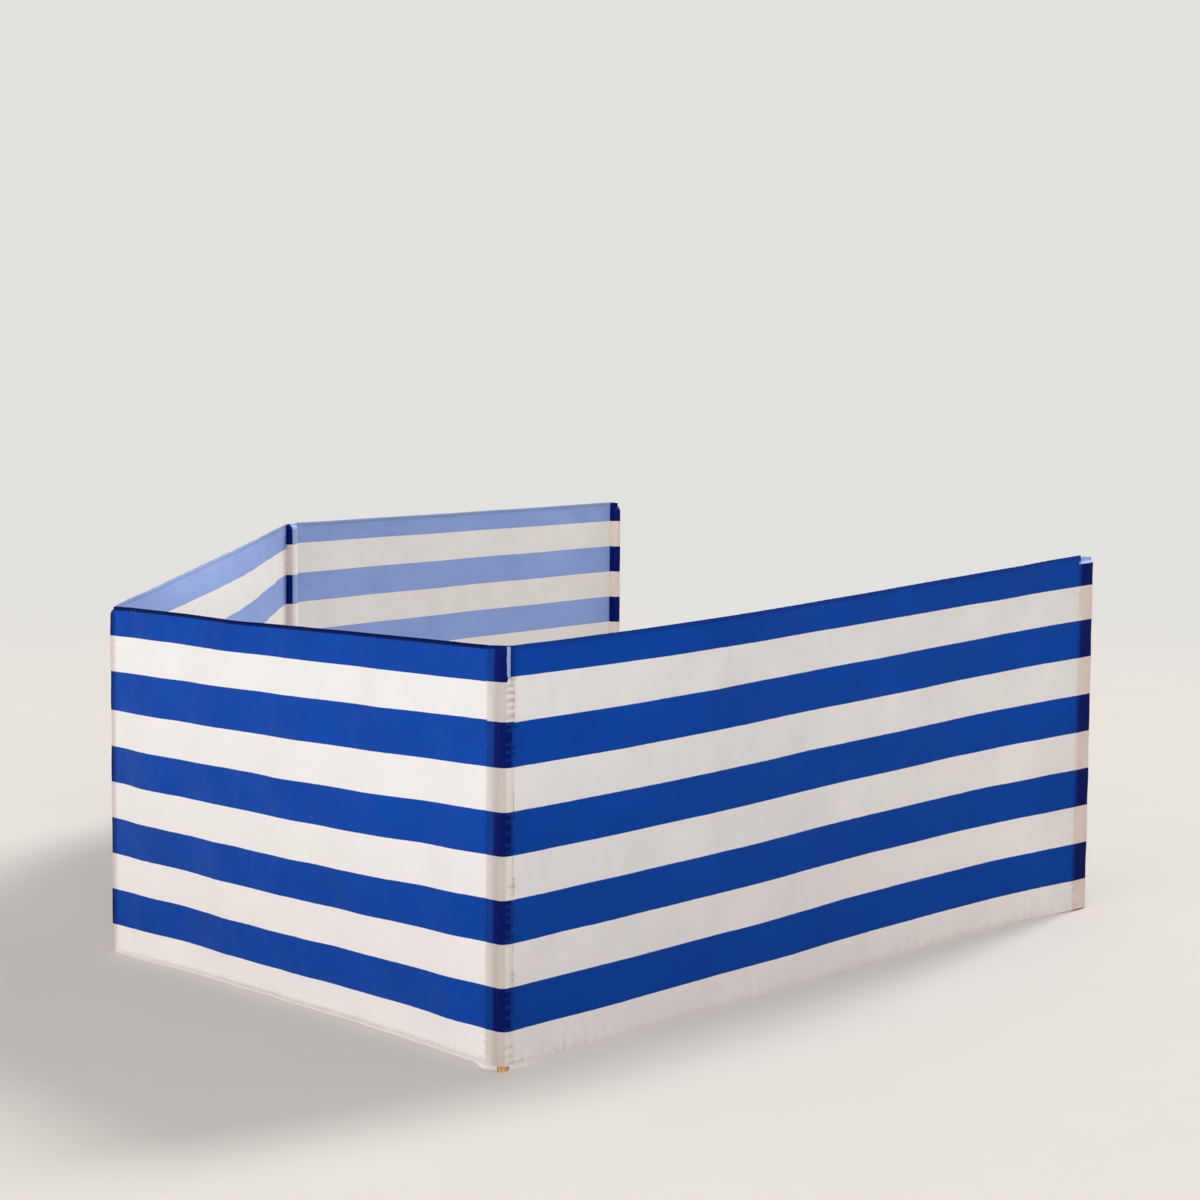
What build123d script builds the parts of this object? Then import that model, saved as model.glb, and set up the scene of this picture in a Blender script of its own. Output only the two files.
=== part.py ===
from build123d import *

import os
from math import asin, atan2, cos, sin

# A striped beach windbreak: one strip of cloth in four bays, hung between five poles.
# Each pole stands in a sleeve sewn into the cloth, closed at its top and open at its foot.
# The origin is the foot of the middle pole, at the lowest ground that any pole stands on.

os.makedirs("parts", exist_ok=True)

# Cloth sizes, in millimetres
cloth_height = 762
cloth_thickness = 2
hem_height = 8
hem_thickness = 1.5
fold_gap = 0.2
cap_thickness = 2
cap_rounding = 0.8
end_sleeve_drop = 12

# Pole sizes
pole_diameter = 22
pole_top_bevel = 2
pole_top_room = 10

# A sleeve is a flat tunnel between two seams, and its pole stands close to the seam ahead
sleeve_clearance = 0.3
sleeve_width = 60
seam_past_tube = 1.2
last_seam_back = 36

# How it stands: the plan, the bare pole under the cloth down to the lowest ground, and how far each bay
# is bowed outwards, or inwards where the value is negative
bay_length = 1500
first_bay_heading = -126.5
turn_at_pole = {2: 28, 3: 45.5, 4: 90.5}
bare_pole = {1: 108, 2: 113, 3: 15, 4: 79, 5: 184}
outward_bow = {1: 20, 2: -40, 3: 20, 4: 10}

# Worked out from the sizes above
pole_radius = pole_diameter / 2
tunnel_radius = pole_radius + sleeve_clearance
tube_radius = tunnel_radius + cloth_thickness
first_pole = min(bare_pole)
last_pole = max(bare_pole)
middle_pole = (first_pole + last_pole) // 2
seam_ahead = tube_radius + seam_past_tube
seam_back = {number: sleeve_width - seam_ahead for number in bare_pole}
seam_back[last_pole] = last_seam_back

heading = {first_pole: first_bay_heading}
for pole_number, turn in turn_at_pole.items():
    heading[pole_number] = heading[pole_number - 1] + turn

# Each pole's place, walking along the cloth, with the middle pole on the origin
walk = {first_pole: Vector(0, 0)}
for bay, angle in heading.items():
    walk[bay + 1] = walk[bay] + Vector(bay_length, 0).rotate(Axis.Z, angle)
pole_place = {number: spot - walk[middle_pole] for number, spot in walk.items()}


def sleeve_top(number):
    """Height of the sleeve's closed top over the ground: the two end sleeves stop a little lower."""
    drop = end_sleeve_drop if number in (first_pole, last_pole) else 0
    return bare_pole[number] + cloth_height - drop


def sleeve_arms(number):
    """Directions in which cloth leaves a pole's sleeve, each with its seam's distance from the axis."""
    arms = []
    if number > first_pole:
        arms.append((heading[number - 1] + 180, seam_back[number]))
    if number < last_pole:
        arms.append((heading[number], seam_ahead))
    return arms


def arm_outline(reach):
    """Corners of an arm that leaves the round tube at a tangent and narrows to one cloth thickness."""
    tip = cloth_thickness / 2
    lean = asin(tube_radius / (reach**2 + tip**2) ** 0.5) - atan2(tip, reach)
    touch = Vector(sin(lean), cos(lean)) * tube_radius
    return [(touch.X, touch.Y), (reach, tip), (reach, -tip), (touch.X, -touch.Y)]


def sleeve_outline(number):
    """Plan of a sleeve from outside: a round tube with its sewn arms."""
    Circle(tube_radius)
    for angle, reach in sleeve_arms(number):
        Polygon(*arm_outline(reach), rotation=angle, align=None)


def pole_plane(number, height):
    """Level plane on a pole's axis."""
    return Plane(pole_place[number] + Vector(0, 0, height))


def cloth_strip(bay, low, high, inner, outer):
    """One bay's cloth between two heights over its foot line and two depths from its middle, bowed in plan.

    The foot line runs from one pole's bare length to the next one's."""
    start = seam_ahead
    end = bay_length - seam_back[bay + 1]
    middle = (start + end) / 2
    bow = -outward_bow[bay]
    along = Vector(1, 0).rotate(Axis.Z, heading[bay])
    foot, next_foot = bare_pole[bay], bare_pole[bay + 1]
    with BuildPart() as strip:
        with BuildSketch(Plane(pole_place[bay], x_dir=along, z_dir=(0, 0, 1))):
            with BuildLine():
                ThreePointArc((start, inner), (middle, bow + inner), (end, inner))
                Line((end, inner), (end, outer))
                ThreePointArc((end, outer), (middle, bow + outer), (start, outer))
                Line((start, outer), (start, inner))
            make_face()
        extrude(amount=max(foot, next_foot) + high)
        with BuildSketch(Plane(pole_place[bay], x_dir=along, z_dir=along.rotate(Axis.Z, -90))):
            Polygon(
                (0, foot + low),
                (bay_length, next_foot + low),
                (bay_length, next_foot + high),
                (0, foot + high),
                align=None,
            )
        extrude(amount=bay_length, both=True, mode=Mode.INTERSECT)
    return strip.part


# Poles, each in its own sleeve, which goes on a little over the pole's end up to its closed top
for number in pole_place:
    with BuildPart() as pole:
        with BuildSketch(pole_plane(number, 0)):
            Circle(pole_radius)
        extrude(amount=sleeve_top(number) - cap_thickness - pole_top_room)
        chamfer(pole.edges().sort_by(Axis.Z)[-1], pole_top_bevel)
    pole.part.label = f"pole_{number}"
    export_step(pole.part, f"parts/pole_{number}.step")

    with BuildPart() as sleeve:
        with BuildSketch(pole_plane(number, bare_pole[number])):
            sleeve_outline(number)
            Circle(tunnel_radius, mode=Mode.SUBTRACT)
        extrude(amount=sleeve_top(number) - cap_thickness - bare_pole[number])
    sleeve.part.label = f"sleeve_{number}"
    export_step(sleeve.part, f"parts/sleeve_{number}.step")

    with BuildPart() as cap:
        with BuildSketch(pole_plane(number, sleeve_top(number) - cap_thickness)):
            sleeve_outline(number)
        extrude(amount=cap_thickness)
        fillet(cap.faces().sort_by(Axis.Z)[-1].edges(), min(cap_rounding, cap_thickness / 2))
    cap.part.label = f"sleeve_cap_{number}"
    export_step(cap.part, f"parts/sleeve_cap_{number}.step")

# The striped cloth of each bay, and the hems folded over onto its inner face
for bay in heading:
    face = cloth_thickness / 2
    fold = face + fold_gap
    panel = cloth_strip(bay, 0, cloth_height, -face, face)
    panel.label = f"panel_{bay}"
    export_step(panel, f"parts/panel_{bay}.step")

    bottom_hem = cloth_strip(bay, 0, hem_height, fold, fold + hem_thickness)
    bottom_hem.label = f"bottom_hem_{bay}"
    export_step(bottom_hem, f"parts/bottom_hem_{bay}.step")

    top_hem = cloth_strip(bay, cloth_height - hem_height, cloth_height, fold, fold + hem_thickness)
    top_hem.label = f"top_hem_{bay}"
    export_step(top_hem, f"parts/top_hem_{bay}.step")
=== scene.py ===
"""A striped beach windbreak: one strip of cloth in four bays, on five poles in sewn sleeves."""

import math

import bpy
import numpy as np
from mathutils import Matrix, Vector


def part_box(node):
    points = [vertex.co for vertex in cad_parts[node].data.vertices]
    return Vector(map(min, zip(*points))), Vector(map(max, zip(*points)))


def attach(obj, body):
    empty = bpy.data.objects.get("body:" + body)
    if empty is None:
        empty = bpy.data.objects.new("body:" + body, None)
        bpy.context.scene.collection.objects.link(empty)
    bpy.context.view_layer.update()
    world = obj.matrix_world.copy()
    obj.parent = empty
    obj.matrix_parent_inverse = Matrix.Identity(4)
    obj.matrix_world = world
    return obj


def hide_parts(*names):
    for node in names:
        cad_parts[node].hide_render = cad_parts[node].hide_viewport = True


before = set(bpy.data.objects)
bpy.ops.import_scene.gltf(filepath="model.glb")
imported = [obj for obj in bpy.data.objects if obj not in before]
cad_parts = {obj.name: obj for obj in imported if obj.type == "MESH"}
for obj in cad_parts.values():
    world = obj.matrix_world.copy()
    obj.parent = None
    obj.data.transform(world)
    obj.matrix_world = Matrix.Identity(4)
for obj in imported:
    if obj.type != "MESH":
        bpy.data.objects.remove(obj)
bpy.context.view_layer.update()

# The frame, in metres: poles, the cloth's foot at each of them, and sleeve tops. Bay n runs from pole n to
# pole n + 1, and the inside of the windbreak is on its left. The back pole is the corner at the back left, the
# middle pole the one at the front left, and the front bay joins that one to the near pole
pole_numbers = range(1, 6)
bays = range(1, 5)
first_pole, back_pole, middle_pole, near_pole, last_pole = pole_numbers
front_bay = middle_pole


def axis_of(number):
    """A pole's place in plan."""
    low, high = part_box(f"pole_{number}")
    return np.array([low.x + high.x, low.y + high.y]) / 2


pole_at = {n: axis_of(n) for n in pole_numbers}
foot = {n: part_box(f"sleeve_{n}")[0].z for n in pole_numbers}
sleeve_top = {n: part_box(f"sleeve_cap_{n}")[1].z for n in pole_numbers}
cloth_height = sleeve_top[middle_pole] - foot[middle_pole]

# From a pole's axis to its sleeve's seam in the next bay, and in the bay before. The near sleeve wraps so far
# round its pole that both of its seams are drawn in, and the back and the last one are narrower as well
seam_ahead = {n: 0.0145 for n in pole_numbers if n < last_pole}
seam_back = {n: 0.0455 for n in pole_numbers if n > first_pole}
seam_ahead[near_pole] = 0.010
seam_back.update({back_pole: 0.034, near_pole: 0.0345, last_pole: 0.036})

# How far each bay's middle lies inside its straight line. First as the seams' slope and the ground follow it,
# then the cloth's own: at mid-height, how much more at the top than at the foot, how much more at both edges,
# and how much more near its second pole
bay_bow = {1: -0.020, 2: -0.020, 3: -0.020, 4: -0.010}
bow_middle = {1: -0.020, 2: -0.027, 3: -0.037, 4: 0.001}
bow_tilt = {1: 0.0, 2: 0.0, 3: -0.013, 4: -0.060}
bow_edges = {1: 0.002, 2: 0.002, 3: 0.043, 4: -0.017}
bow_skew = {1: 0.0, 2: 0.0, 3: -0.003, 4: 0.031}

# How far a bay also bellies to the inside, how soon under its top edge and over its foot, and how steeply it
# falls off towards the seams
belly_depth = {1: 0.0, 2: 0.080, 3: 0.0, 4: 0.0}
belly_under_top, belly_over_foot, belly_power = 0.10, 0.15, 1.6

# How far the top edge stands over the straight line between its corners, and how fast that fades downwards
top_rise = {1: -0.002, 2: -0.008, 3: 0.0025, 4: -0.001}
top_rise_power = 10

# How deep the puckers are at the seams that stand out, and at the others, and how far apart
pucker_height = {
    (middle_pole, "ahead"): 0.0004,
    (near_pole, "back"): 0.0006,
    (near_pole, "ahead"): 0.0011,
    (last_pole, "back"): 0.0004,
}
plain_pucker = 0.0005
pucker_pitch = 0.014

# Soft shapes of the bays' cloth: how deep and how long each one's waves are, and how far from the seams it
# has come in fully
roll_depth, roll_length = 0.0002, 0.085
billow_depth, billow_length = 0.0024, 0.42
free_reach = 0.16
slack_depth, slack_length, slack_reach = 0.0007, 0.13, 0.08
crinkle_depth, crinkle_length, crinkle_reach = 0.00016, 0.035, 0.03
hem_ripple, hem_ripple_length, hem_ripple_spread = 0.0006, 0.020, 0.012

# Pulls that run from the seams into the cloth: their depth, their spacing along the seam, how far in they
# start and fade, and how much they lean at the corners. Then how far in the puckers fade
drag_depth, drag_length, drag_start, drag_fade, drag_lean = 0.0009, 0.085, 0.05, 0.13, 0.9
pucker_fade = 0.016

# Seeds of the random waves, for each kind of shape
seeds = {
    "pucker": 40,
    "roll": 60,
    "billow": 70,
    "slack": 80,
    "crinkle": 90,
    "drag": 100,
    "hem": 120,
    "loose": 140,
}

# Cloth, seams and stripes
tube_radius = 0.0124
layer_gap = 0.0006
hem_height = 0.007
end_drop = cloth_height - (sleeve_top[last_pole] - foot[last_pole])
thread_pitch = 0.0008
stripe_width = 0.080
lowest_stripe = 0.063

# Stitches: from one to the next, their radius and half their length, how far inside a hem's edge and a seam
# their rows run, and the step at which these rows follow the cloth. How far off the layers of a hem they lie,
# on its outer side and on its inner one
stitch_pitch, stitch_radius, stitch_half = 0.005, 0.00028, 0.0016
hem_stitch_inset, seam_stitch_inset, stitch_row_step = 0.0015, 0.0022, 0.004
outer_stitch_lift, inner_stitch_lift = 0.0002, 0.0007

# The lower edge of the top blue stripe and the upper edge of the next one, the reach of a shift, and how much
# lower the first edge and how much higher the second are printed: at each bay's two ends, and on each sleeve
top_edge = lowest_stripe + 8 * stripe_width
second_edge = top_edge - stripe_width
edge_spread = 0.030
edge_lower = {1: (0.0, -0.003), 2: (0.010, 0.0), 3: (0.0, 0.007), 4: (-0.003, 0.0075)}
edge_higher = {1: (0.0, 0.0), 2: (0.0, 0.0), 3: (0.005, 0.005), 4: (0.001, 0.0)}
sleeve_edges = {1: (0.0, 0.0), 2: (-0.003, 0.0), 3: (0.0, 0.005), 4: (0.006, 0.003), 5: (0.0075, 0.0)}

# How far the cloth is drawn up at the middle pole's top, at its back seam and from the pole on, how fast that
# fades downwards, how far it is drawn up at the last pole's foot, and over what share of a bay, from its start
# and before its end, both fade away
top_lift = {middle_pole: (0.006, 0.012)}
top_lift_power = 8
foot_lift = {last_pole: 0.009}
fade_reach = {1: (0.2, 0.2), 2: (0.2, 0.7), 3: (0.45, 0.2), 4: (0.2, 0.6)}

# Grids: spacing of the cloth's mesh near its edges and away from them, how far from an edge it starts and
# stops to widen, and how far a bay's cloth goes under its sleeves
fine_step, coarse_step = 0.0026, 0.0070
fine_reach, coarse_reach = 0.050, 0.200
tuck = 0.003


def unit(vector):
    return vector / np.linalg.norm(vector)


def left_of(vector):
    return np.array([-vector[1], vector[0]])


def turned(angle):
    return np.array([math.cos(angle), math.sin(angle)])


along_bay = {b: unit(pole_at[b + 1] - pole_at[b]) for b in bays}
bay_length = {b: float(np.linalg.norm(pole_at[b + 1] - pole_at[b])) for b in bays}
foot_slope = {b: (foot[b + 1] - foot[b]) / bay_length[b] for b in bays}
panel_start = {b: seam_ahead[b] for b in bays}
panel_end = {b: bay_length[b] - seam_back[b + 1] for b in bays}
end_slope = {b: 4 * bay_bow[b] / (panel_end[b] - panel_start[b]) for b in bays}


def seam_offset(bay, reach):
    """How far to the inside a seam lies, on the line that leaves the sleeve's tube at a tangent."""
    slope = end_slope[bay]
    return -tube_radius * math.sqrt(1 + slope**2) + reach * slope


def steps_of(line):
    """Distances from each point of a line to the next."""
    return np.linalg.norm(np.diff(line, axis=0), axis=1)


def distances(line):
    """How far along a line each of its points is."""
    return np.concatenate([[0], np.cumsum(steps_of(line))])


def normals(line):
    """Unit vectors to the left of a line at each of its points."""
    side = left_of(np.gradient(line, axis=0).T).T
    return side / np.linalg.norm(side, axis=1)[:, None]


# Small shapes of cloth: sums of waves, seeded so that each run is the same
def soft_noise(x, y, wavelength, seed, waves=12):
    """Smooth noise of about unit size."""
    draw = np.random.default_rng(seed)
    total = np.zeros(np.broadcast(x, y).shape)
    for _ in range(waves):
        turn, shift = draw.uniform(0, 2 * math.pi, 2)
        length = wavelength * draw.uniform(0.7, 1.5)
        total += np.sin(2 * math.pi * (x * math.cos(turn) + y * math.sin(turn)) / length + shift)
    return total / math.sqrt(waves / 2)


def ridge_noise(x, wavelength, seed):
    """Smooth noise along one line, of about unit size."""
    waves = 10
    draw = np.random.default_rng(seed)
    total = np.zeros(np.shape(x))
    for _ in range(waves):
        shift = draw.uniform(0, 2 * math.pi)
        length = wavelength * draw.uniform(0.75, 1.4)
        total += np.sin(2 * math.pi * x / length + shift)
    return total / math.sqrt(waves / 2)


def ramp(value, low, high):
    """Smooth step from 0 at low to 1 at high."""
    t = np.clip((value - low) / (high - low), 0, 1)
    return t * t * (3 - 2 * t)


def printed(height, lower, higher):
    """The height that the colours read: the edges of the top stripe and of the next one are a little off."""
    first = lower * np.exp(-(((height - top_edge) / edge_spread) ** 2))
    second = higher * np.exp(-(((height - second_edge) / edge_spread) ** 2))
    return height + first - second


def pole_lift(number, height, past_back):
    """How far the cloth is drawn up at a pole, at each height: past_back is 0 at its back seam and 1 from the
    pole on."""
    up = np.clip(height / cloth_height, 0, 1)
    at_back, at_pole = top_lift.get(number, (0.0, 0.0))
    at_top = (at_back + (at_pole - at_back) * past_back) * up**top_lift_power
    return at_top + foot_lift.get(number, 0.0) * (1 - up)


def bay_lift(bay, t, height):
    """The same in a bay, at each share t of its length: it fades away from the pole."""
    fade_start, fade_end = fade_reach[bay]
    at_start = pole_lift(bay, height, 1) * (1 - ramp(t, 0, fade_start))
    return at_start + pole_lift(bay + 1, height, 0) * ramp(t, 1 - fade_end, 1)


def seam_pucker(number, side, height):
    """How far the cloth at a seam is gathered by its stitches, out of the plane: small ripples that are strong
    in some patches and weak in others, and even puckers whose pitch drifts a little."""
    ripple_length, patch_length, drift_length = 0.016, 0.22, 0.09
    seed = seeds["pucker"] + 2 * number + (side == "ahead")
    ripples = ridge_noise(height, ripple_length, seed)
    gathered = 0.5 + 0.5 * np.tanh(1.5 * ridge_noise(height, patch_length, seed + 20))
    drift = 0.8 * ridge_noise(height, drift_length, seed + 30)
    even = np.sin(2 * math.pi * height / pucker_pitch + drift)
    strength = pucker_height.get((number, side), plain_pucker)
    return strength * ((0.35 + 0.65 * gathered) * ripples + 1.2 * even)


# Meshes
def make_piece(name, points, faces, material, height=None, along=None, shade_and_glint=None, shaded=None, inner=None):
    """A piece with what its material reads at each point: its height on the cloth, how far along the cloth
    it is, its painted shade from a pole behind it and its painted glints, the painted shade on its white, and
    where its paler reverse shows, on the sleeves with painted light."""
    mesh = bpy.data.meshes.new(name)
    mesh.from_pydata([tuple(p) for p in points], [], [tuple(f) for f in faces])
    fields = {"height": height, "along": along, "shade_and_glint": shade_and_glint, "shaded": shaded, "inner": inner}
    for field, values in fields.items():
        if values is not None:
            layer = mesh.attributes.new(field, "FLOAT", "POINT")
            layer.data.foreach_set("value", np.asarray(values, np.float32).ravel())
    mesh.polygons.foreach_set("use_smooth", np.ones(len(mesh.polygons), bool))
    mesh.materials.append(material)
    mesh.update()
    piece = bpy.data.objects.new(name, mesh)
    bpy.context.scene.collection.objects.link(piece)
    return piece


def grid_faces(columns, rows, closed=False):
    """Four-sided faces of a grid whose points run column by column."""
    last = columns if closed else columns - 1
    i, j = np.meshgrid(np.arange(last), np.arange(rows - 1), indexing="ij")
    a = i * rows + j
    b = ((i + 1) % columns) * rows + j
    return np.stack([a, b, b + 1, a + 1], axis=-1).reshape(-1, 4).tolist()


def graded(start, end):
    """Places from start to end, closer together near both."""
    places = [start]
    while places[-1] < end:
        here = places[-1]
        widened = float(ramp(min(here - start, end - here), fine_reach, coarse_reach))
        places.append(here + fine_step + (coarse_step - fine_step) * widened)
    scale = (end - start) / (places[-1] - start)
    return start + (np.array(places) - start) * scale


# Materials
class Nodes:
    """A short way to wire a material's nodes."""

    def __init__(self, name):
        self.material = bpy.data.materials.new(name)
        self.material.use_nodes = True
        self.tree = self.material.node_tree
        self.tree.nodes.clear()

    def add(self, kind, settings=None, **inputs):
        node = self.tree.nodes.new(kind)
        for key, value in (settings or {}).items():
            setattr(node, key, value)
        for key, value in inputs.items():
            self.feed(node.inputs[key.replace("_", " ")], value)
        return node

    def feed(self, socket, value):
        if isinstance(value, bpy.types.NodeSocket):
            self.tree.links.new(value, socket)
        else:
            socket.default_value = value

    def math(self, operation, *values):
        node = self.add("ShaderNodeMath", {"operation": operation})
        for socket, value in zip(node.inputs, values):
            self.feed(socket, value)
        return node.outputs[0]

    def smooth(self, value, low, high, to_low=0.0, to_high=1.0):
        node = self.add("ShaderNodeMapRange", {"interpolation_type": "SMOOTHSTEP"})
        for socket, given in zip(node.inputs, (value, low, high, to_low, to_high)):
            self.feed(socket, given)
        return node.outputs[0]

    def blend(self, factor, first, second, mode="MIX"):
        node = self.add("ShaderNodeMix", {"data_type": "RGBA", "blend_type": mode})
        for colour_socket, value in ((0, factor), (6, first), (7, second)):
            self.feed(node.inputs[colour_socket], value)
        return node.outputs[2]

    def noise(self, vector, scale, detail=2.0, roughness=0.5):
        node = self.add("ShaderNodeTexNoise", Scale=scale, Detail=detail, Roughness=roughness)
        self.feed(node.inputs["Vector"], vector)
        return node.outputs["Fac"]

    def attribute(self, name):
        return self.add("ShaderNodeAttribute", {"attribute_name": name}).outputs["Fac"]

    def finish(self, shader):
        self.add("ShaderNodeOutputMaterial", Surface=shader)
        return self.material


# The print's colours, and its blue on the cloth's reverse: paler than the print, and paler still as a
# painted sun glare. How much lighter its white is there, as painted light, and the painted glint on the
# puckers that catch the light
royal_blue = (0.0015, 0.053, 0.335)
soft_white = (0.81, 0.785, 0.76)
reverse_blue_and_glare = (0.38, 0.50, 0.85)
lit_lining_white = 1.1
glint_tint = (1.21, 1.23, 1.25, 1)


def tinted(colour, *factors):
    """A colour times one factor, or one for each of its parts."""
    parts = factors * 3 if len(factors) == 1 else factors
    return tuple(c * f for c, f in zip(colour, parts)) + (1,)


def striped_cloth(
    name, translucency, blue_shade, white_shade, reverse=None, shade_off_pole=None, lining=None, gloss=(0.09, 0.04)
):
    """Thin coated cloth with level stripes: weave, soft creases, and light through it.

    The reverse is the print's weaker blue on the cloth's other side, made paler still as a painted sun glare.
    The blue and white shades darken the print, on sleeves and hems as painted shade. Where no pole behind
    doubled cloth stops the light, its blue and white get the lighter painted shades given for that. The lining
    is the reverse's shade on the parts of a piece that show it, with its white painted lighter as painted
    light. The gloss is the cloth's specular level and its sheen."""
    n = Nodes(name)
    height, along = n.attribute("height"), n.attribute("along")
    place = n.add("ShaderNodeCombineXYZ", X=along, Y=height, Z=0.0).outputs[0]

    # Stripes: the wave is 0 in the middle of a blue one and 1 in the middle of a white one. Their edges
    # wander and blur by small shares of a stripe
    edge_wander, edge_blur = 0.012, 0.006
    first_middle = lowest_stripe + stripe_width / 2
    wander = n.math("MULTIPLY", n.math("SUBTRACT", n.noise(place, 60.0), 0.5), edge_wander)
    count = n.math("DIVIDE", n.math("SUBTRACT", height, first_middle), stripe_width)
    wave = n.math("PINGPONG", n.math("ADD", count, wander), 1.0)
    white = n.smooth(wave, 0.5 - edge_blur, 0.5 + edge_blur)

    # Each colour is a little uneven, from sun and handling
    faded = n.noise(place, 5.0, 3.0)
    blue = n.blend(faded, tinted(royal_blue, 0.80), tinted(royal_blue, 1.20))
    blue_tint, white_tint = (*blue_shade, 1), (*white_shade, 1)
    # Painted shade where a pole stands behind a sleeve, lighter where none does, and painted glints on the
    # near sleeve's puckers
    if shade_off_pole:
        shade_and_glint = n.attribute("shade_and_glint")
        blue_tint = n.blend(n.smooth(shade_and_glint, 0.4, 1.0), (*shade_off_pole[0], 1), blue_tint)
        white_tint = n.blend(n.attribute("shaded"), (*shade_off_pole[1], 1), white_tint)
        white_tint = n.blend(n.smooth(shade_and_glint, -1.0, -0.1, 1.0, 0.0), white_tint, glint_tint)
    blue = n.blend(1.0, blue, blue_tint, "MULTIPLY")
    pale = n.blend(faded, tinted(soft_white, 0.97), tinted(soft_white, 1.02))
    pale = n.blend(1.0, pale, white_tint, "MULTIPLY")
    # Where a piece shows its reverse: the paler print, with its white painted lighter as painted light
    if lining:
        inner = n.attribute("inner")
        blue = n.blend(inner, blue, tinted(reverse_blue_and_glare, lining))
        pale = n.blend(inner, pale, tinted(soft_white, lit_lining_white))

    # Painted shade: darker and warmer towards the foot, lighter towards the top
    top_light_share = n.smooth(height, 0.0, cloth_height)
    blue = n.blend(1.0, blue, n.blend(top_light_share, (0.90, 0.88, 0.88, 1), (1.04, 1.07, 1.08, 1)), "MULTIPLY")
    pale = n.blend(1.0, pale, n.blend(top_light_share, (0.955, 0.93, 0.915, 1), (1.01, 1.005, 1.0, 1)), "MULTIPLY")
    colour = n.blend(white, blue, pale)
    shown = colour
    # The back faces show the paler reverse print, made paler still as a painted sun glare
    if reverse:
        behind = n.add("ShaderNodeNewGeometry").outputs["Backfacing"]
        weaker = n.blend(faded, tinted(reverse, 0.92), tinted(reverse, 1.08))
        shown = n.blend(behind, colour, n.blend(white, weaker, pale))

    # The weave and shallow creases
    turns = 2 * math.pi / thread_pitch
    warp = n.math("SINE", n.math("MULTIPLY", along, turns))
    weft = n.math("SINE", n.math("MULTIPLY", height, turns))
    weave = n.math("MULTIPLY", warp, weft)
    crease = n.noise(place, 28.0, 3.0, 0.55)
    weave_bump = n.add("ShaderNodeBump", Strength=0.25, Distance=0.00006, Height=weave).outputs[0]
    bump = n.add("ShaderNodeBump", Strength=0.22, Distance=0.003, Height=crease, Normal=weave_bump)
    bump = bump.outputs[0]

    roughness = n.smooth(n.noise(place, 14.0), 0.3, 0.7, 0.42, 0.54)
    surface = n.add(
        "ShaderNodeBsdfPrincipled",
        Base_Color=shown,
        Roughness=roughness,
        Specular_IOR_Level=gloss[0],
        Sheen_Weight=gloss[1],
        Sheen_Roughness=0.25,
        Normal=bump,
    )
    through = n.add("ShaderNodeBsdfTranslucent", Color=colour, Normal=bump)
    mixed = n.add("ShaderNodeMixShader", Fac=translucency)
    n.feed(mixed.inputs[1], surface.outputs[0])
    n.feed(mixed.inputs[2], through.outputs[0])
    return n.finish(mixed.outputs[0])


def wood_material():
    """Turned pine: long grain with fine streaks, and a worn satin finish."""
    n = Nodes("pine")
    place = n.add("ShaderNodeTexCoord").outputs["Object"]
    long_grain = n.add("ShaderNodeMapping", Scale=(110.0, 110.0, 2.2), Vector=place).outputs[0]
    grain = n.noise(long_grain, 1.0, 5.0, 0.6)
    streak = n.add("ShaderNodeMapping", Scale=(420.0, 420.0, 9.0), Vector=place).outputs[0]
    fine = n.noise(streak, 1.0, 3.0)
    pattern = n.math("ADD", n.math("MULTIPLY", grain, 0.75), n.math("MULTIPLY", fine, 0.25))
    tone = n.smooth(pattern, 0.35, 0.65)
    colour = n.blend(tone, (0.34, 0.165, 0.055, 1), (0.62, 0.375, 0.165, 1))
    bump = n.add("ShaderNodeBump", Strength=0.3, Distance=0.0004, Height=pattern).outputs[0]
    roughness = n.smooth(fine, 0.3, 0.7, 0.42, 0.6)
    surface = n.add("ShaderNodeBsdfPrincipled", Base_Color=colour, Roughness=roughness, Normal=bump)
    return n.finish(surface.outputs[0])


panel_cloth = striped_cloth("striped_cloth", 0.36, (1.0, 1.0, 1.0), (1.0, 1.0, 1.0), reverse_blue_and_glare)


def doubled_cloth(name, white_shade):
    """The doubled cloth of a sleeve, with painted shade: dark where a pole stands behind it and stops the
    light.
    """
    return striped_cloth(
        name,
        0.10,
        (0.4, 0.12, 0.31),
        white_shade,
        shade_off_pole=((0.8, 0.74, 0.76), (0.99, 0.96, 0.94)),
        lining=0.80,
        gloss=(0.05, 0.02),
    )


# The sleeves' whites are darkened as painted shade, the near sleeve's most
sleeve_cloth = doubled_cloth("doubled_cloth", (0.87, 0.765, 0.735))
near_sleeve_cloth = doubled_cloth("near_doubled_cloth", (0.69, 0.64, 0.625))
# The hems' blue is darkened as painted shade of folded cloth, much more on the front bay's
hem_cloth = striped_cloth("folded_cloth", 0.12, (0.9, 0.75, 0.80), (0.99, 0.98, 0.98), lining=0.67)
shaded_front_hem_cloth = striped_cloth(
    "front_hem_shaded_cloth", 0.06, (0.3, 0.12, 0.20), (0.98, 0.97, 0.97), lining=0.67, gloss=(0.03, 0.01)
)
thread = striped_cloth("thread", 0.05, (1.0, 0.85, 0.90), (0.97, 0.96, 0.95), lining=0.72)
pine = wood_material()


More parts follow.
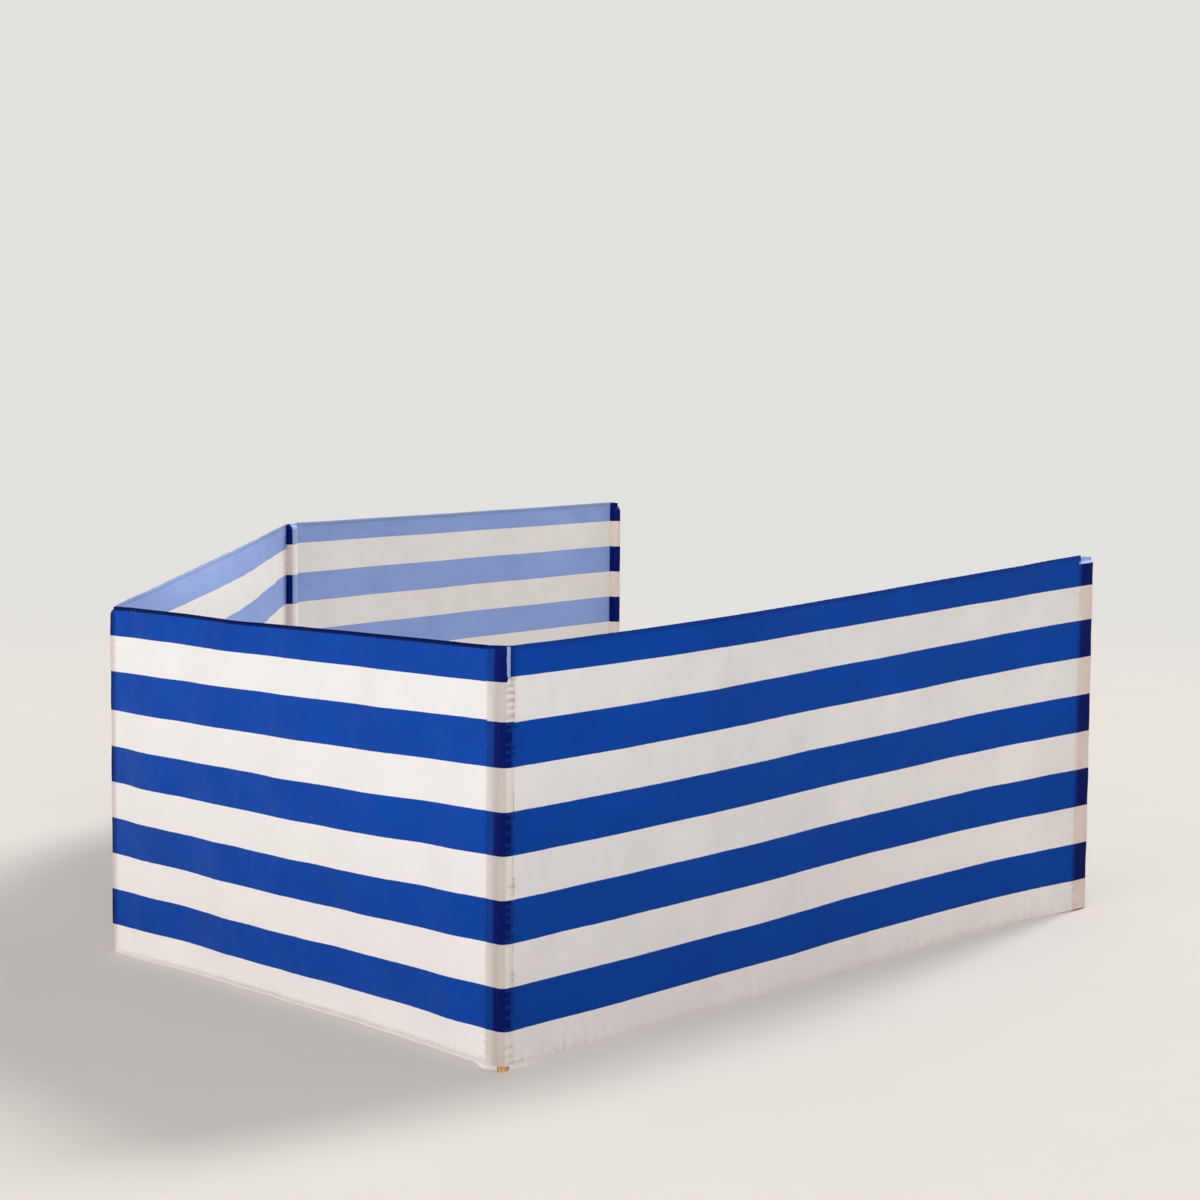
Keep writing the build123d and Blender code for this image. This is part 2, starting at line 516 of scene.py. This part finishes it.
# The panels
def panel_side(bay, along, height):
    """How far inside its bay's straight line each point of the cloth lies."""
    start, end = panel_start[bay], panel_end[bay]
    t = (along - start) / (end - start)
    level = height / cloth_height - 0.5
    bow = bow_middle[bay] + bow_tilt[bay] * level + bow_edges[bay] * 4 * level**2
    bow = bow + bow_skew[bay] * 2 * (t - 0.5)
    from_top, from_foot = np.clip(cloth_height - height, 0, None), np.clip(height, 0, None)
    belly = belly_depth[bay] * (1 - np.exp(-from_top / belly_under_top))
    belly = belly * (1 - np.exp(-from_foot / belly_over_foot))
    filled = bow * 4 * t * (1 - t) + belly * np.clip(4 * t * (1 - t), 0, 1) ** belly_power
    at_start = seam_offset(bay, seam_ahead[bay]) * (1 - t) ** 3
    at_end = seam_offset(bay, seam_back[bay + 1]) * t**3

    # Soft waves that start a little way from the seams
    from_seam = np.minimum(along - start, end - along)
    free = ramp(from_seam, 0.0, free_reach)
    near_free = ramp(from_seam, 0.0, crinkle_reach)
    rolled = roll_depth * ridge_noise(along, roll_length, seeds["roll"] + bay) * free
    billow = billow_depth * soft_noise(along, 0.8 * height, billow_length, seeds["billow"] + bay) * free
    slack = slack_depth * soft_noise(along, height, slack_length, seeds["slack"] + bay)
    slack *= ramp(from_seam, 0.0, slack_reach)
    crinkle = crinkle_depth * soft_noise(along, height, crinkle_length, seeds["crinkle"] + bay, 16) * near_free

    # Pulls that run from the seams into the cloth, steeper near its corners
    drag = np.zeros_like(filled)
    for at_far_end, distance in enumerate((along - start, end - along)):
        run = height - drag_lean * level * distance
        fan = ridge_noise(run, drag_length, seeds["drag"] + 2 * bay + at_far_end)
        fan *= np.exp(-distance / drag_fade)
        drag += drag_depth * fan * ramp(distance, 0.0, drag_start)
    shape = filled + at_start + at_end + rolled + billow + slack + crinkle + drag

    # Stitches gather the cloth at both seams, and the hems ripple a little
    for number, side, distance in ((bay, "ahead", along - start), (bay + 1, "back", end - along)):
        shape += seam_pucker(number, side, height) * np.exp(-np.maximum(distance, 0) / pucker_fade)
    edge = np.minimum(height, cloth_height - height)
    ripple = hem_ripple * ridge_noise(along, hem_ripple_length, seeds["hem"] + bay)
    return shape + ripple * np.exp(-edge / hem_ripple_spread) * near_free


def panel_points(bay, along, height, outwards=0.0):
    """Points of a bay's cloth, or of a surface that lies off it."""
    t = (along - panel_start[bay]) / (panel_end[bay] - panel_start[bay])
    side = panel_side(bay, along, height) - outwards
    spot = pole_at[bay] + along[..., None] * along_bay[bay] + side[..., None] * left_of(along_bay[bay])
    rise = top_rise[bay] * 4 * t * (1 - t) * np.clip(height / cloth_height, 0, 1) ** top_rise_power
    z = foot[bay] + foot_slope[bay] * along + height + rise + bay_lift(bay, t, height)
    return np.concatenate([spot, z[..., None]], axis=-1)


def make_panel(bay):
    columns = graded(panel_start[bay] - tuck, panel_end[bay] + tuck)
    rows = graded(0.0, cloth_height)
    along, height = np.meshgrid(columns, rows, indexing="ij")
    points = panel_points(bay, along, height).reshape(-1, 3)
    t = (along - panel_start[bay]) / (panel_end[bay] - panel_start[bay])
    lower, higher = (shift[bay][0] * (1 - t) + shift[bay][1] * t for shift in (edge_lower, edge_higher))
    faces, print_at = grid_faces(len(columns), len(rows)), printed(height, lower, higher)
    piece = make_piece(f"cloth_{bay}", points, faces, panel_cloth, print_at, along)
    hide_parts(f"panel_{bay}")
    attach(piece, "root")
    return piece


def fold_section(top):
    """A folded edge in section, from its outer side over to its inner one: how far out of the cloth's plane
    each point lies, and its height on the cloth."""
    half, roll, past_edge = layer_gap, 0.0008, 0.0004
    section = [(half, hem_height), (half + 0.0001, 0.6 * hem_height), (half, 0.0015)]
    section += [(half * math.cos(turn), roll - roll * math.sin(turn)) for turn in np.linspace(0, math.pi, 7)]
    section += [(-half - 0.0005, 0.002), (-half - 0.0006, 0.6 * hem_height), (-half - 0.0004, hem_height)]
    section += [(-half, hem_height + 0.0006)]
    if top:
        return np.array([(out, cloth_height - down + past_edge) for out, down in section])
    return np.array([(out, down - past_edge) for out, down in section])


def make_hem(bay, end):
    section = fold_section(end == "top")
    columns = graded(panel_start[bay], panel_end[bay])
    along, out = np.meshgrid(columns, section[:, 0], indexing="ij")
    height = np.tile(section[:, 1], (len(columns), 1))
    points = panel_points(bay, along, height, out).reshape(-1, 3)
    # The front bay's hem takes the darkest painted shade
    cloth = shaded_front_hem_cloth if bay == front_bay else hem_cloth
    faces = grid_faces(len(columns), len(section))
    piece = make_piece(f"{end}_fold_{bay}", points, faces, cloth, height, along, inner=out < -0.5 * layer_gap)
    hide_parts(f"{end}_hem_{bay}")
    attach(piece, "root")
    return piece


# The sleeves: two layers of cloth from seam to seam, one on each side of a pole
sleeve_columns = 44

# How far from a pole's axis, towards the bay before, the painted shade of the pole behind a sleeve starts to
# lift from its blue and has lifted, the same towards the next bay, and how far under the closed top the
# painted shade is full again
pole_shade_reach = {n: (0.022, 0.040) for n in pole_numbers}
pole_shade_reach[near_pole] = (0.009, 0.018)
pole_shade_reach_ahead = {middle_pole: (0.006, 0.012), near_pole: (0.004, 0.010)}
full_shade_top = (0.009, 0.005)

# From where to where the painted shade on the near sleeve's white lifts towards the bay before and towards the
# next one, and its puckers come to take painted glints. How much the shade lifts between the glints, and the
# least height of a glinting pucker
lighter_back, lighter_ahead = (0.008, 0.038), (-0.0075, -0.0005)
past_pole = (-0.007, -0.003)
between_glints, least_crest = 0.35, 0.2

# The back sleeve's lining shows the paler reverse, as painted light on the lit half of its tube, up to this
# share of its width from the back seam, and the last sleeve shows its paler reverse, as painted light, from
# this far under its top
lining_edge = (0.72, 0.77)
pale_top = (0.0072, 0.0062)

# How far under its top each sleeve starts to close, how far under it its layers have met, and where the mesh
# has rows for it
closing_start = {n: 0.018 for n in pole_numbers}
closing_start[last_pole] = 0.0085
closing_rest = 0.0045
closing_rows = np.array([0.018, 0.014, 0.011, 0.0085, 0.0072, 0.0062, 0.005, 0.003])

# Over what share of its width, from the back seam, the middle sleeve comes to be drawn up in full, and the
# near sleeve's print changes to that of the bay ahead
drawn_up, print_change = (0.15, 0.65), (0.76, 0.86)

# How far from a seam a sleeve's puckers fade and its layers come apart, and how loose they are
back_fade, ahead_fade, apart_reach = 0.010, 0.013, 0.010
loose_depth, loose_length = 0.0004, 0.060


def along_line(points, count):
    """The points of a line, spaced evenly."""
    points = np.array(points)
    at = distances(points)
    wanted = np.linspace(0, at[-1], count)
    return np.stack([np.interp(wanted, at, points[:, k]) for k in range(2)], axis=1)


def seam_point(number, side):
    """A seam in plan, from its pole's axis, and its angle there."""
    bay = number if side == "ahead" else number - 1
    reach = seam_ahead[number] if side == "ahead" else seam_back[number]
    forward = along_bay[bay] if side == "ahead" else -along_bay[bay]
    point = forward * reach + left_of(along_bay[bay]) * seam_offset(bay, reach)
    return point, math.atan2(point[1], point[0])


def wrapped(start, end, turning):
    """Points round the tube between two angles, turning left or right, but never nearly a full turn."""
    full, widest_step = 2 * math.pi, 0.12
    sweep = (end - start) % full if turning == "left" else -((start - end) % full)
    if abs(sweep) > 1.5 * math.pi:
        sweep -= math.copysign(full, sweep)
    count = max(2, int(abs(sweep) / widest_step))
    return [tube_radius * turned(start + sweep * k / count) for k in range(count + 1)]


def sleeve_lines(number):
    """A sleeve's outer and inner layer in plan, from its back seam, or open end, to the other one."""
    has_back, has_ahead = number > first_pole, number < last_pole
    if has_back:
        back, back_angle = seam_point(number, "back")
        back_touch = math.acos(tube_radius / np.linalg.norm(back))
    if has_ahead:
        ahead, ahead_angle = seam_point(number, "ahead")
        ahead_touch = math.acos(tube_radius / np.linalg.norm(ahead))
    if has_back and has_ahead:
        outer = [back] + wrapped(back_angle + back_touch, ahead_angle - ahead_touch, "left") + [ahead]
        middle_angle = back_angle + (ahead_angle - back_angle) % (-2 * math.pi) / 2
        crest = tube_radius * turned(middle_angle)
        control = 2 * crest - (back + ahead) / 2
        inner = []
        for t in np.linspace(0, 1, 40):
            spot = (1 - t) ** 2 * back + 2 * t * (1 - t) * control + t * t * ahead
            inner.append(spot * max(1.0, tube_radius / np.linalg.norm(spot)))
    elif has_back:
        free = math.atan2(along_bay[number - 1][1], along_bay[number - 1][0])
        outer = [back] + wrapped(back_angle + back_touch, free, "left")
        inner = [back] + wrapped(back_angle - back_touch, free, "right")
    else:
        free = math.atan2(-along_bay[number][1], -along_bay[number][0])
        outer = wrapped(free, ahead_angle - ahead_touch, "left") + [ahead]
        inner = wrapped(free, ahead_angle + ahead_touch, "right") + [ahead]
    return along_line(outer, sleeve_columns), along_line(inner, sleeve_columns)


def under_top(heights, low, high):
    """Smooth step from 0 at one distance under a sleeve's top to 1 at a smaller one."""
    return ramp(heights, heights.max() - low, heights.max() - high)


def near_crests(heights):
    """The near sleeve's puckers at its seam ahead, of about unit size, and whether they are on the top white
    stripe, where they catch the light and get painted glints."""
    crest = -seam_pucker(near_pole, "ahead", heights) / pucker_height[near_pole, "ahead"]
    return crest, (heights > second_edge) & (heights < top_edge)


def pole_shade_and_glint(number, line, heights):
    """The painted shade of the pole behind each point of a sleeve's layer: 1 on it and along the closed top,
    0.4 at the back seam, 0 at the near pole's seam ahead, and less, down to -1, for painted glints on the
    puckers there that catch the light."""
    shade_and_glint = np.ones(len(line))
    if number > first_pole:
        shade_and_glint -= 0.6 * ramp(line @ -along_bay[number - 1], *pole_shade_reach[number])
    if number in pole_shade_reach_ahead:
        shade_and_glint -= ramp(line @ along_bay[number], *pole_shade_reach_ahead[number])
    shade_and_glint = np.clip(shade_and_glint, 0, 1)[:, None] + 0 * heights
    if number == near_pole:
        crest, caught = near_crests(heights)
        glint = np.clip(1.5 * crest, 0, 1) * np.where(caught, 1.0, 0.2)
        glint *= ramp(line @ along_bay[number], *past_pole)[:, None]
        shade_and_glint = shade_and_glint * (1 - glint) - glint
    return np.maximum(shade_and_glint, under_top(heights, *full_shade_top))


def shaded_white(number, line, heights, shade_and_glint):
    """The painted shade on a sleeve's white at each point. On the near sleeve it lifts towards both seams,
    less so between the puckers that take painted glints."""
    if number != near_pole:
        return ramp(shade_and_glint, 0.0, 0.35)
    start, end = lighter_back
    back = np.clip((line @ -along_bay[number - 1] - start) / (end - start), 0, 1)
    ahead = ramp(line @ along_bay[number], *lighter_ahead)
    crest, caught = near_crests(heights)
    between = caught & (crest < least_crest)
    return 1 - np.maximum(back[:, None], ahead[:, None] * np.where(between, between_glints, 1.0))


def paler(number, on_inside, share, heights):
    """Where a sleeve shows its cloth's paler reverse, as painted light: the back one's lining on the lit half
    of its tube, and the top of the last one.
    """
    shown = np.zeros(heights.shape)
    if number == back_pole and on_inside:
        shown += 1 - ramp(share, *lining_edge)[:, None]
    if number == last_pole:
        shown += under_top(heights, *pale_top)
    return shown


def sleeve_mesh(number):
    """A sleeve's points, faces, what its material reads at each point, and how many rows it has: its two
    layers, joined at the seams and, by make_sleeve, along the closed top."""
    outer, inner = sleeve_lines(number)
    middle = (outer + inner) / 2
    total = sleeve_top[number] - foot[number]
    rows = np.unique(np.concatenate([graded(0.0, total), total - closing_rows]))
    share = np.linspace(0, 1, sleeve_columns)
    has_back, has_ahead = number > first_pole, number < last_pole
    back_rise = -foot_slope[number - 1] * seam_back[number] if has_back else 0.0
    ahead_rise = foot_slope[number] * seam_ahead[number] if has_ahead else 0.0
    rise = back_rise * (1 - share) ** 2 + ahead_rise * share**2
    start = closing_start[number]
    closed = np.clip(rows - (total - start), 0, None) / (start - closing_rest)
    closing = np.sqrt(np.clip(1 - closed**2, 0, 1))

    layers = []
    for line, on_inside in ((outer, False), (inner, True)):
        side = normals(line)[:, None, :]
        out = 1 if on_inside else -1
        length = steps_of(line).sum()
        columns, heights = np.meshgrid(share * length, rows, indexing="ij")
        push = np.zeros_like(columns)
        apart = np.ones_like(columns)
        if has_back:
            push += seam_pucker(number, "back", heights) * np.exp(-columns / back_fade)
            apart = np.minimum(apart, ramp(columns, 0.0, apart_reach))
        if has_ahead:
            push += seam_pucker(number, "ahead", heights) * np.exp(-(((length - columns) / ahead_fade) ** 2))
            apart = np.minimum(apart, ramp(length - columns, 0.0, apart_reach))
        loose = soft_noise(columns, heights * 0.5, loose_length, seeds["loose"] + 2 * number + on_inside)
        push += out * loose_depth * (loose + 1.0) * apart
        flat = middle[:, None, :] + out * side * layer_gap / 2
        full = line[:, None, :] + push[..., None] * side + out * side * layer_gap
        plan = flat + (full - flat) * closing[None, :, None]
        lift = pole_lift(number, heights, ramp(share, *drawn_up)[:, None])
        z = foot[number] + heights + rise[:, None] + lift
        spots = np.concatenate([plan + pole_at[number], z[..., None]], axis=-1)
        lower, higher = sleeve_edges[number]
        if number == near_pole:
            lower = lower + (edge_lower[number][0] - lower) * ramp(share, *print_change)[:, None]
        print_at = printed(heights, lower, higher)
        # The painted shade of the pole behind, painted glints, and the painted shade on the white
        shade_and_glint = pole_shade_and_glint(number, line, heights)
        shaded = shaded_white(number, line, heights, shade_and_glint)
        layers.append((spots, print_at, columns, shade_and_glint, shaded, paler(number, on_inside, share, heights)))

    ring, *fields = (np.concatenate([first, second[::-1]]) for first, second in zip(*layers))
    faces = grid_faces(len(ring), len(rows), closed=True)
    return ring.reshape(-1, 3), faces, [field.ravel() for field in fields], len(rows)


def make_sleeve(number):
    points, faces, fields, rows = sleeve_mesh(number)
    top = range(rows - 1, 2 * sleeve_columns * rows, rows)
    for k in range(sleeve_columns - 1):
        faces.append((top[k], top[k + 1], top[-k - 2], top[-k - 1]))
    cloth = near_sleeve_cloth if number == near_pole else sleeve_cloth
    piece = make_piece(f"sleeve_cloth_{number}", points, faces, cloth, *fields)
    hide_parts(f"sleeve_{number}", f"sleeve_cap_{number}")
    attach(piece, "root")
    return piece


# At the row's two ends the inner layer stands up over the sleeve's closed top. For each end: how much of the
# sleeve's width it covers from the seam, its height at the seam and at its other edge, its cloth. Then how far
# it goes down into the sleeve, how far it leans on the inner layer, and its ripple
flap_shapes = {
    first_pole: (0.62, 1.00, 0.90, sleeve_cloth),
    last_pole: (1.00, 0.50, 0.30, panel_cloth),
}
flap_rows, flap_root, flap_lean = 9, 0.005, 0.35
flap_ripple, flap_ripple_run = 0.0004, 0.0052


def make_flap(number):
    """A flap over an end sleeve's top, and its flat width."""
    covered, near_seam, far_edge, cloth = flap_shapes[number]
    outer, inner = sleeve_lines(number)
    if number == first_pole:
        inwards, rise = -1, foot_slope[number] * seam_ahead[number]
        outer, inner = outer[::-1], inner[::-1]
    else:
        inwards, rise = 1, -foot_slope[number - 1] * seam_back[number]
    count = int(round(covered * (sleeve_columns - 1))) + 1
    share = np.linspace(0, 1, sleeve_columns)[:count]
    outer, inner = outer[:count], inner[:count]
    middle = (outer + inner) / 2
    at, side = distances(inner), normals(inner)
    crest = near_seam + (far_edge - near_seam) * ramp(at / at[-1], 0.45, 0.85)
    total = sleeve_top[number] - foot[number]
    points, heights, alongs = [], [], []
    for k in range(count):
        base = middle[k] + inwards * side[k] * layer_gap * 1.5
        for up in np.linspace(-flap_root, end_drop * crest[k], flap_rows):
            lift = float(ramp(up, -0.002, end_drop))
            spot = base + (inner[k] - base) * flap_lean * lift + pole_at[number]
            spot = spot + side[k] * flap_ripple * math.sin(at[k] / flap_ripple_run) * lift
            points.append((*spot, foot[number] + total + up + rise * (1 - share[k]) ** 2))
            heights.append(total + up)
            alongs.append(at[k])
    # The first flap takes its sleeve cloth's full painted shade
    faces, shade_and_glint = grid_faces(count, flap_rows), np.ones(len(points))
    piece = make_piece(f"end_flap_{number}", points, faces, cloth, heights, alongs, shade_and_glint, shaded=shade_and_glint)
    if number == last_pole:
        piece.data.flip_normals()
    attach(piece, "root")
    return piece, float(steps_of(middle).sum())


# At the near corner a narrow pleat lies folded back over the sleeve, over the height of the top stripe: its
# size, how far from the seam it starts, and how far it stands off at its edges and more in its middle
pleat_width, pleat_height, pleat_start = 0.006, 0.068, 0.0088
pleat_lift, pleat_crown = 0.0024, 0.0014
pleat_columns, pleat_rows = 8, 28


def make_pleat(number):
    outer = sleeve_lines(number)[0][::-1]
    at = distances(outer)
    levels = np.linspace(cloth_height - pleat_height, cloth_height - 0.001, pleat_rows)
    points, heights, alongs = [], [], []
    for share in np.linspace(0, 1, pleat_columns):
        lift = pleat_lift + pleat_crown * math.sin(math.pi * min(1.0, 0.15 + share)) ** 0.5
        for level in levels:
            from_foot = (level - levels[0]) / pleat_height
            width = pleat_width * (0.55 + 0.45 * float(ramp(from_foot, 0.0, 0.4)))
            width *= 1 + 0.05 * math.sin(level / 0.0043)
            reach = pleat_start + width * share
            spot = np.array([np.interp(reach, at, outer[:, k]) for k in range(2)])
            ahead = np.array([np.interp(reach + 0.001, at, outer[:, k]) for k in range(2)])
            spot = spot + left_of(unit(ahead - spot)) * lift + pole_at[number]
            points.append((*spot, foot[number] + level + foot_slope[number] * seam_ahead[number]))
            heights.append(level)
            alongs.append(reach)
    faces = grid_faces(pleat_columns, pleat_rows)
    piece = make_piece(f"seam_pleat_{number}", points, faces, panel_cloth, heights, alongs)
    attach(piece, "root")
    return piece


# Stitches: rows of short threads that lie on the cloth
def stitch_rows(name, rows):
    """One piece of many stitches, each a thread of four sides with two tips. Each row is its points, the
    direction out of the cloth, its heights on the cloth as printed, and whether it is on the inside."""
    points, faces, heights, inner = [], [], [], []
    for line, up, level, on_inside in rows:
        steps, at = steps_of(line), distances(line)
        for middle in np.arange(stitch_pitch / 2, at[-1], stitch_pitch):
            k = int(np.searchsorted(at, middle)) - 1
            forward = (line[k + 1] - line[k]) / steps[k]
            centre = line[k] + forward * (middle - at[k])
            across = np.cross(up, forward)
            base = len(points)
            for end in (-1, 1):
                points.append(centre + forward * end * stitch_half)
            for end in (-0.5, 0.5):
                for side, lift in ((-1, 0.1), (0, 1.2), (1, 0.1), (0, -0.6)):
                    off_line = (across * side + up * lift) * stitch_radius
                    points.append(centre + forward * end * stitch_half + off_line)
            heights += [level[k]] * (len(points) - base)
            inner += [on_inside] * (len(points) - base)
            first, second = base + 2, base + 6
            for j in range(4):
                m = (j + 1) % 4
                faces.append((first + j, first + m, base))
                faces.append((second + m, second + j, base + 1))
                faces.append((first + m, first + j, second + j, second + m))
    piece = make_piece(name, points, faces, thread, heights, heights, inner=inner)
    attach(piece, "root")
    return piece


def stitch_row(bay, along, height, outwards, print_at):
    """One row for stitch_rows, on the outside of a bay or, where it lies inwards, on its inside."""
    up = -np.sign(outwards) * np.append(left_of(along_bay[bay]), 0.0)
    return panel_points(bay, along, height, outwards), up, print_at, outwards < 0


def hem_stitches(bay):
    rows = []
    columns = np.arange(panel_start[bay] + 0.002, panel_end[bay], stitch_row_step)
    for height in (hem_height - hem_stitch_inset, cloth_height - hem_height + hem_stitch_inset):
        level = np.full(len(columns), height)
        for outwards in (layer_gap + outer_stitch_lift, -layer_gap - inner_stitch_lift):
            rows.append(stitch_row(bay, columns, level, outwards, level))
    piece = stitch_rows(f"hem_stitches_{bay}", rows)
    return piece


def seam_stitches(bay):
    rows = []
    heights = np.arange(stitch_row_step, cloth_height - stitch_row_step, stitch_row_step)
    for end, place in enumerate((panel_start[bay] + seam_stitch_inset, panel_end[bay] - seam_stitch_inset)):
        print_at = printed(heights, edge_lower[bay][end], edge_higher[bay][end])
        for outwards in (layer_gap * 0.4, -layer_gap * 0.4):
            rows.append(stitch_row(bay, np.full(len(heights), place), heights, outwards, print_at))
    piece = stitch_rows(f"seam_stitches_{bay}", rows)
    return piece


for number in pole_numbers:
    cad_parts[f"pole_{number}"].data.materials.clear()
    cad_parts[f"pole_{number}"].data.materials.append(pine)

for bay in bays:
    panel = make_panel(bay)
    hems = [make_hem(bay, end) for end in ("bottom", "top")]
    hem_stitches(bay)
    seam_stitches(bay)

for number in pole_numbers:
    sleeve = make_sleeve(number)
    [make_pleat(number)] if number == near_pole else []
    if number in flap_shapes:
        flap, flap_width = make_flap(number)


# The floor: a smooth pale ground that runs just under the foot of the cloth, by this gap at each pole, with a
# small hollow at the near pole
ground_gap = {1: 0.002, 2: 0.002, 3: 0.002, 4: 0.003, 5: 0.001}
ground_softness, ground_samples = 0.05, 31
hollow_depth, hollow_reach = 0.015, 0.035


def ground_height(x, y):
    """Weighted mean of the heights along the cloth's foot, by distance, less the hollow."""
    total, weight = np.zeros(np.shape(x)), np.zeros(np.shape(x))
    for b in bays:
        for t in np.linspace(0, 1, ground_samples)[: None if b == bays[-1] else -1]:
            spot = pole_at[b] + along_bay[b] * bay_length[b] * t
            spot = spot + left_of(along_bay[b]) * bay_bow[b] * 4 * t * (1 - t)
            gap = ground_gap[b] * (1 - t) + ground_gap[b + 1] * t
            level = foot[b] * (1 - t) + foot[b + 1] * t - gap + float(bay_lift(b, t, 0.0))
            near = 1 / ((x - spot[0]) ** 2 + (y - spot[1]) ** 2 + ground_softness**2) ** 2
            total, weight = total + near * level, weight + near
    corner = pole_at[near_pole]
    from_corner = np.hypot(x - corner[0], y - corner[1])
    return total / weight - hollow_depth * np.exp(-((from_corner / hollow_reach) ** 2))


def make_floor(material):
    count, reach, curl = 150, 40.0, 4.2
    t = np.linspace(-1, 1, count)
    spread = np.sinh(curl * t) / math.sinh(curl) * reach
    centre = sum(pole_at.values()) / len(pole_at)
    x, y = np.meshgrid(centre[0] + spread, centre[1] + spread, indexing="ij")
    points = np.stack([x, y, ground_height(x, y)], axis=-1).reshape(-1, 3)
    floor = make_piece("floor", points, grid_faces(count, count), material)


def floor_material():
    """A matt pale ground that fades into the backdrop far from the windbreak, for the camera only."""
    n = Nodes("pale_floor")
    place = n.add("ShaderNodeNewGeometry").outputs["Position"]
    tone = n.noise(place, 3.0, 4.0)
    colour = n.blend(tone, (0.560, 0.532, 0.490, 1), (0.580, 0.552, 0.510, 1))
    bump = n.add("ShaderNodeBump", Strength=0.12, Distance=0.004, Height=n.noise(place, 40.0, 4.0)).outputs[0]
    matt = {"Roughness": 0.9, "Specular_IOR_Level": 0.1}
    surface = n.add("ShaderNodeBsdfPrincipled", Base_Color=colour, Normal=bump, **matt)
    centre = sum(pole_at.values()) / len(pole_at)
    offset = n.add("ShaderNodeVectorMath", {"operation": "SUBTRACT"})
    n.feed(offset.inputs[0], place)
    n.feed(offset.inputs[1], (centre[0], centre[1], 0.0))
    distance = n.add("ShaderNodeVectorMath", {"operation": "LENGTH"})
    n.feed(distance.inputs[0], offset.outputs["Vector"])
    far = n.smooth(distance.outputs["Value"], 2.8, 7.5)
    seen = n.add("ShaderNodeLightPath").outputs["Is Camera Ray"]
    plain = n.add("ShaderNodeEmission", Color=(*backdrop_colour, 1), Strength=1.0)
    mixed = n.add("ShaderNodeMixShader", Fac=n.math("MULTIPLY", far, seen))
    n.feed(mixed.inputs[1], surface.outputs[0])
    n.feed(mixed.inputs[2], plain.outputs[0])
    return n.finish(mixed.outputs[0])


backdrop_colour = (0.77, 0.755, 0.73)
make_floor(floor_material())

# Light: a large soft key from behind on the right, a fill from the front, and an even sky
world = bpy.data.worlds.new("sky")
bpy.context.scene.world = world
world.use_nodes = True
sky = world.node_tree
sky.nodes.clear()
background = sky.nodes.new("ShaderNodeBackground")
background.inputs["Color"].default_value = (1.0, 1.0, 1.0, 1)
background.inputs["Strength"].default_value = 0.50
backdrop = sky.nodes.new("ShaderNodeBackground")
backdrop.inputs["Color"].default_value = (*backdrop_colour, 1)
backdrop.inputs["Strength"].default_value = 1.0
path = sky.nodes.new("ShaderNodeLightPath")
choose = sky.nodes.new("ShaderNodeMixShader")
out = sky.nodes.new("ShaderNodeOutputWorld")
sky.links.new(path.outputs["Is Camera Ray"], choose.inputs["Fac"])
sky.links.new(background.outputs[0], choose.inputs[1])
sky.links.new(backdrop.outputs[0], choose.inputs[2])
sky.links.new(choose.outputs[0], out.inputs["Surface"])


def add_sun(name, towards, strength, spread):
    """A lamp as wide as its spread in degrees, far away in the direction that its light comes from."""
    data = bpy.data.lights.new(name, "SUN")
    data.energy = strength
    data.angle = math.radians(spread)
    light = bpy.data.objects.new(name, data)
    light.rotation_mode = "QUATERNION"
    light.rotation_quaternion = Vector(towards).to_track_quat("Z", "Y")
    bpy.context.scene.collection.objects.link(light)


add_sun("key", (0.52, 0.54, 0.66), 2.5, 16)
add_sun("fill", (-0.31, -0.76, 0.57), 2.2, 70)

# The camera, at the photograph's viewing angle
camera_place = (1.0784, -6.1236, 1.3868)
camera_yaw, camera_pitch, camera_roll = math.radians(0.088), math.radians(5.367), math.radians(0.478)
focal_length = 83.51
level_right = np.array([math.cos(camera_yaw), math.sin(camera_yaw), 0.0])
look = np.array([
    -math.sin(camera_yaw) * math.cos(camera_pitch),
    math.cos(camera_yaw) * math.cos(camera_pitch),
    -math.sin(camera_pitch),
])
level_up = np.cross(level_right, look)
right = math.cos(camera_roll) * level_right + math.sin(camera_roll) * level_up
up = math.cos(camera_roll) * level_up - math.sin(camera_roll) * level_right
camera_data = bpy.data.cameras.new("camera")
camera_data.lens = focal_length
camera_data.sensor_width = 36.0
camera_data.clip_end = 200.0
camera = bpy.data.objects.new("camera", camera_data)
turn = Matrix([[right[k], up[k], -look[k]] for k in range(3)]).to_4x4()
camera.matrix_world = Matrix.Translation(camera_place) @ turn
bpy.context.scene.collection.objects.link(camera)
bpy.context.scene.camera = camera
bpy.context.scene.view_settings.view_transform = "Standard"
